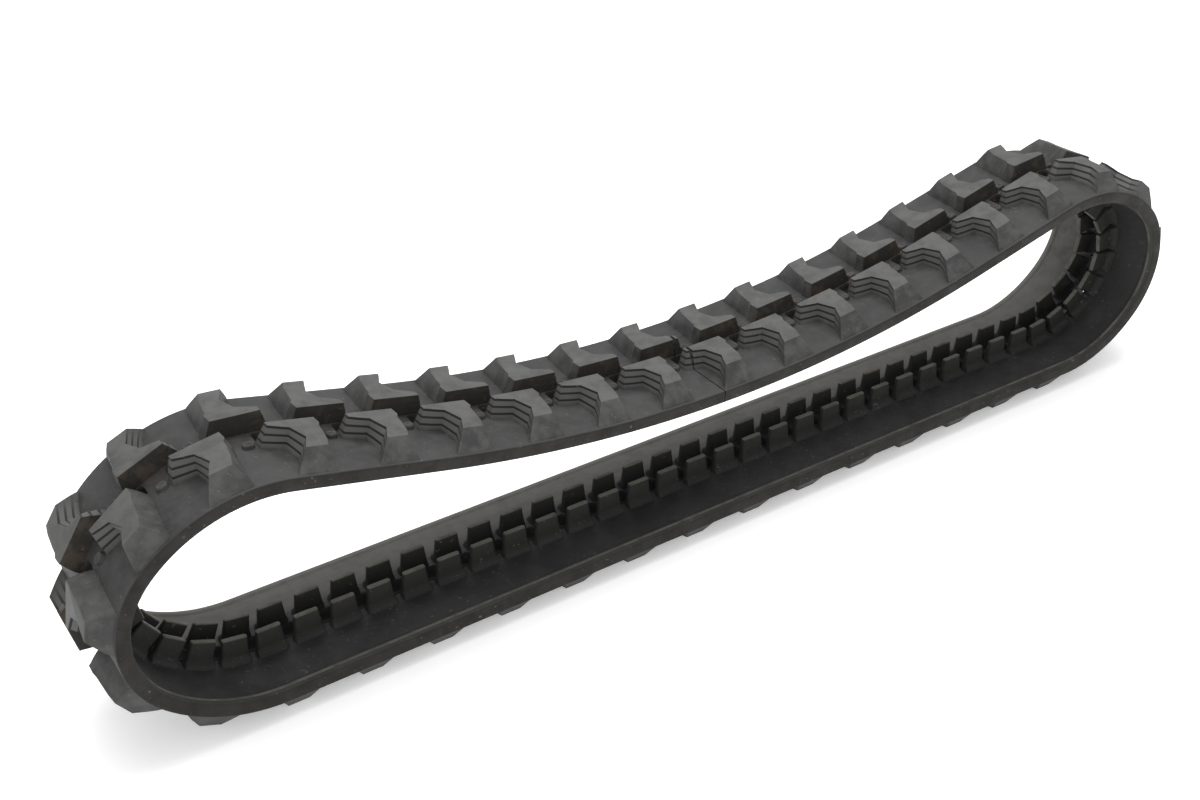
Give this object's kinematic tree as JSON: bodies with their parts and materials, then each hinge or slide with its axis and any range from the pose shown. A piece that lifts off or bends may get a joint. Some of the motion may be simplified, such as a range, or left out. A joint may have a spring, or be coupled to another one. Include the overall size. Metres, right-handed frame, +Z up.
{
  "type": "rubber track",
  "caption": "Endless rubber crawler track with staggered tread lugs, a double row of guide horns, sprocket windows, core irons and cord bands.",
  "frame": {"origin": "centre of the loop in plan, at the height of the surface the bottom run's lugs rest on", "axes": "+X along the track, +Y across it towards the back edge, +Z up"},
  "size_m": [1.9768, 0.23, 0.4073],
  "materials": {
    "black_rubber": "matt moulded rubber, dusty",
    "core_iron": "rough as cast",
    "steel_cord": "thin brass coating"
  },
  "bodies": {
    "bottom_run": {"rubber_bottom_run": "black_rubber", "core_irons_bottom_run": "core_iron", "front_cord_bottom_run": "steel_cord", "back_cord_bottom_run": "steel_cord"},
    "right_end_1": {"rubber_right_end_1": "black_rubber", "core_irons_right_end_1": "core_iron", "front_cord_right_end_1": "steel_cord", "back_cord_right_end_1": "steel_cord"},
    "right_end_2": {"rubber_right_end_2": "black_rubber", "core_irons_right_end_2": "core_iron", "front_cord_right_end_2": "steel_cord", "back_cord_right_end_2": "steel_cord"},
    "right_end_3": {"rubber_right_end_3": "black_rubber", "core_irons_right_end_3": "core_iron", "front_cord_right_end_3": "steel_cord", "back_cord_right_end_3": "steel_cord"},
    "right_end_4": {"rubber_right_end_4": "black_rubber", "core_irons_right_end_4": "core_iron", "front_cord_right_end_4": "steel_cord", "back_cord_right_end_4": "steel_cord"},
    "right_end_5": {"rubber_right_end_5": "black_rubber", "core_irons_right_end_5": "core_iron", "front_cord_right_end_5": "steel_cord", "back_cord_right_end_5": "steel_cord"},
    "top_right_outer": {"rubber_top_right_outer": "black_rubber", "core_irons_top_right_outer": "core_iron", "front_cord_top_right_outer": "steel_cord", "back_cord_top_right_outer": "steel_cord"},
    "top_right_inner": {"rubber_top_right_inner": "black_rubber", "core_irons_top_right_inner": "core_iron", "front_cord_top_right_inner": "steel_cord", "back_cord_top_right_inner": "steel_cord"},
    "top_left_inner": {"rubber_top_left_inner": "black_rubber", "core_irons_top_left_inner": "core_iron", "front_cord_top_left_inner": "steel_cord", "back_cord_top_left_inner": "steel_cord"},
    "top_left_outer": {"rubber_top_left_outer": "black_rubber", "core_irons_top_left_outer": "core_iron", "front_cord_top_left_outer": "steel_cord", "back_cord_top_left_outer": "steel_cord"},
    "left_end_5": {"rubber_left_end_5": "black_rubber", "core_irons_left_end_5": "core_iron", "front_cord_left_end_5": "steel_cord", "back_cord_left_end_5": "steel_cord"},
    "left_end_4": {"rubber_left_end_4": "black_rubber", "core_irons_left_end_4": "core_iron", "front_cord_left_end_4": "steel_cord", "back_cord_left_end_4": "steel_cord"},
    "left_end_3": {"rubber_left_end_3": "black_rubber", "core_irons_left_end_3": "core_iron", "front_cord_left_end_3": "steel_cord", "back_cord_left_end_3": "steel_cord"},
    "left_end_2": {"rubber_left_end_2": "black_rubber", "core_irons_left_end_2": "core_iron", "front_cord_left_end_2": "steel_cord", "back_cord_left_end_2": "steel_cord"},
    "left_end_1": {"rubber_left_end_1": "black_rubber", "core_irons_left_end_1": "core_iron", "front_cord_left_end_1": "steel_cord", "back_cord_left_end_1": "steel_cord"}
  },
  "joints": [
    {"name": "right_end_1_hinge", "type": "hinge", "parent": "bottom_run", "child": "right_end_1", "pos_m": [0.756, 0, 0.0378], "axis": [0, -1, 0], "range_deg": [-3.26, 3.26]},
    {"name": "right_end_2_hinge", "type": "hinge", "parent": "right_end_1", "child": "right_end_2", "pos_m": [0.86253, 0, 0.06841], "axis": [0, -1, 0], "range_deg": [-3.26, 3.26]},
    {"name": "right_end_3_hinge", "type": "hinge", "parent": "right_end_2", "child": "right_end_3", "pos_m": [0.93804, 0, 0.14847], "axis": [0, -1, 0], "range_deg": [-6.51, 6.51]},
    {"name": "right_end_4_hinge", "type": "hinge", "parent": "right_end_3", "child": "right_end_4", "pos_m": [0.93804, 0, 0.25755], "axis": [0, -1, 0], "range_deg": [-6.51, 6.51]},
    {"name": "right_end_5_hinge", "type": "hinge", "parent": "right_end_4", "child": "right_end_5", "pos_m": [0.86253, 0, 0.33761], "axis": [0, -1, 0], "range_deg": [-3.26, 3.26]},
    {"name": "top_right_outer_hinge", "type": "hinge", "parent": "right_end_5", "child": "top_right_outer", "pos_m": [0.756, 0, 0.36822], "axis": [0, -1, 0], "range_deg": [-4.24, 4.24]},
    {"name": "top_right_inner_hinge", "type": "hinge", "parent": "top_right_outer", "child": "top_right_inner", "pos_m": [0.36736, 0, 0.287], "axis": [0, -1, 0], "range_deg": [-3.47, 3.47]},
    {"name": "left_end_1_hinge", "type": "hinge", "parent": "bottom_run", "child": "left_end_1", "pos_m": [-0.756, 0, 0.0378], "axis": [0, -1, 0], "range_deg": [-3.26, 3.26]},
    {"name": "left_end_2_hinge", "type": "hinge", "parent": "left_end_1", "child": "left_end_2", "pos_m": [-0.86253, 0, 0.06841], "axis": [0, -1, 0], "range_deg": [-3.26, 3.26]},
    {"name": "left_end_3_hinge", "type": "hinge", "parent": "left_end_2", "child": "left_end_3", "pos_m": [-0.93804, 0, 0.14847], "axis": [0, -1, 0], "range_deg": [-6.51, 6.51]},
    {"name": "left_end_4_hinge", "type": "hinge", "parent": "left_end_3", "child": "left_end_4", "pos_m": [-0.93804, 0, 0.25755], "axis": [0, -1, 0], "range_deg": [-6.51, 6.51]},
    {"name": "left_end_5_hinge", "type": "hinge", "parent": "left_end_4", "child": "left_end_5", "pos_m": [-0.86253, 0, 0.33761], "axis": [0, -1, 0], "range_deg": [-3.25, 3.25]},
    {"name": "top_left_outer_hinge", "type": "hinge", "parent": "left_end_5", "child": "top_left_outer", "pos_m": [-0.756, 0, 0.36822], "axis": [0, -1, 0], "range_deg": [-4.54, 4.54]},
    {"name": "top_left_inner_hinge", "type": "hinge", "parent": "top_left_outer", "child": "top_left_inner", "pos_m": [-0.36736, 0, 0.287], "axis": [0, -1, 0], "range_deg": [-4.52, 4.52]}
  ],
  "couplings": [
    {"joint": "right_end_1_hinge", "follows": "left_end_5_hinge", "ratio": -1},
    {"joint": "right_end_2_hinge", "follows": "left_end_5_hinge", "ratio": -1},
    {"joint": "right_end_3_hinge", "follows": "left_end_5_hinge", "ratio": 2},
    {"joint": "right_end_4_hinge", "follows": "left_end_5_hinge", "ratio": 2},
    {"joint": "right_end_5_hinge", "follows": "left_end_5_hinge", "ratio": -1},
    {"joint": "top_right_outer_hinge", "follows": "left_end_5_hinge", "ratio": -1.3},
    {"joint": "top_right_inner_hinge", "follows": "left_end_5_hinge", "ratio": 1.0616},
    {"joint": "left_end_1_hinge", "follows": "left_end_5_hinge", "ratio": 1},
    {"joint": "left_end_2_hinge", "follows": "left_end_5_hinge", "ratio": 1},
    {"joint": "left_end_3_hinge", "follows": "left_end_5_hinge", "ratio": -2},
    {"joint": "left_end_4_hinge", "follows": "left_end_5_hinge", "ratio": -2},
    {"joint": "top_left_outer_hinge", "follows": "left_end_5_hinge", "ratio": 1.3917},
    {"joint": "top_left_inner_hinge", "follows": "left_end_5_hinge", "ratio": -1.3861}
  ]
}
